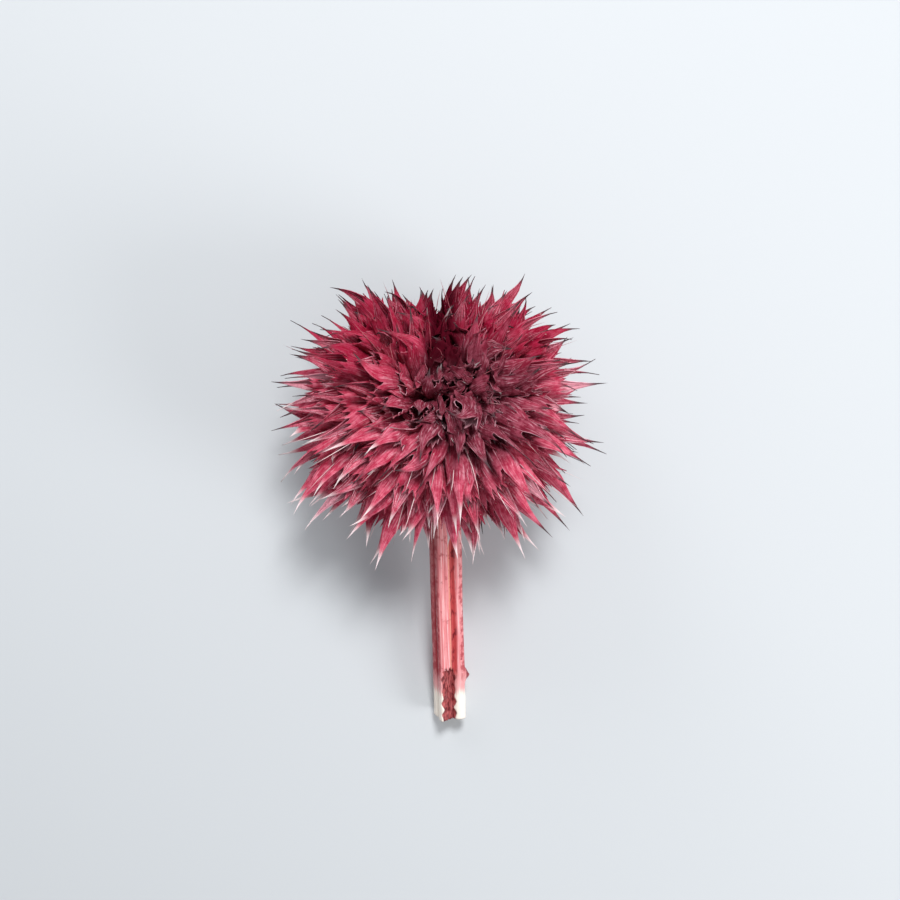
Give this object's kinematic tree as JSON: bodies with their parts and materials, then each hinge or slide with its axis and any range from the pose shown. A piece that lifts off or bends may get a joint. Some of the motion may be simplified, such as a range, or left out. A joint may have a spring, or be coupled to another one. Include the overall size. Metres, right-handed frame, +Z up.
{
  "type": "dried flower stem",
  "caption": "Short cut square stem lying on its side with one dense ball of spiny papery calyces, dyed crimson to rose.",
  "frame": {"origin": "centre of the footprint on the surface that the flower lies on", "axes": "+Y along the stem from its cut end to the flower head, +X to the right, +Z up from the surface"},
  "size_m": [0.068, 0.0996, 0.0525],
  "materials": {
    "calyx": "matte",
    "cyme": "matte",
    "bract": "matte",
    "stem": "satin"
  },
  "bodies": {
    "root": {"stem": "stem", "cyme_left": "cyme", "cyme_right": "cyme", "bract_whorl": "bract", "calyx_cluster_left_01": "calyx", "calyx_cluster_left_02": "calyx", "calyx_cluster_left_03": "calyx", "calyx_cluster_left_04": "calyx", "calyx_cluster_left_05": "calyx", "calyx_cluster_left_06": "calyx", "calyx_cluster_left_07": "calyx", "calyx_cluster_left_08": "calyx", "calyx_cluster_left_09": "calyx", "calyx_cluster_left_10": "calyx", "calyx_cluster_left_11": "calyx", "calyx_cluster_left_12": "calyx", "calyx_cluster_left_13": "calyx", "calyx_cluster_left_14": "calyx", "calyx_cluster_left_15": "calyx", "calyx_cluster_left_16": "calyx", "calyx_cluster_left_17": "calyx", "calyx_cluster_left_18": "calyx", "calyx_cluster_left_19": "calyx", "calyx_cluster_left_20": "calyx", "calyx_cluster_left_21": "calyx", "calyx_cluster_left_22": "calyx", "calyx_cluster_left_23": "calyx", "calyx_cluster_left_24": "calyx", "calyx_cluster_right_01": "calyx", "calyx_cluster_right_02": "calyx", "calyx_cluster_right_03": "calyx", "calyx_cluster_right_04": "calyx", "calyx_cluster_right_05": "calyx", "calyx_cluster_right_06": "calyx", "calyx_cluster_right_07": "calyx", "calyx_cluster_right_08": "calyx", "calyx_cluster_right_09": "calyx", "calyx_cluster_right_10": "calyx", "calyx_cluster_right_11": "calyx", "calyx_cluster_right_12": "calyx", "calyx_cluster_right_13": "calyx", "calyx_cluster_right_14": "calyx", "calyx_cluster_right_15": "calyx", "calyx_cluster_right_16": "calyx", "calyx_cluster_right_17": "calyx", "calyx_cluster_right_18": "calyx", "calyx_cluster_right_19": "calyx", "calyx_cluster_right_20": "calyx", "calyx_cluster_right_21": "calyx", "calyx_cluster_right_22": "calyx", "calyx_cluster_right_23": "calyx", "calyx_cluster_right_24": "calyx"}
  },
  "joints": []
}
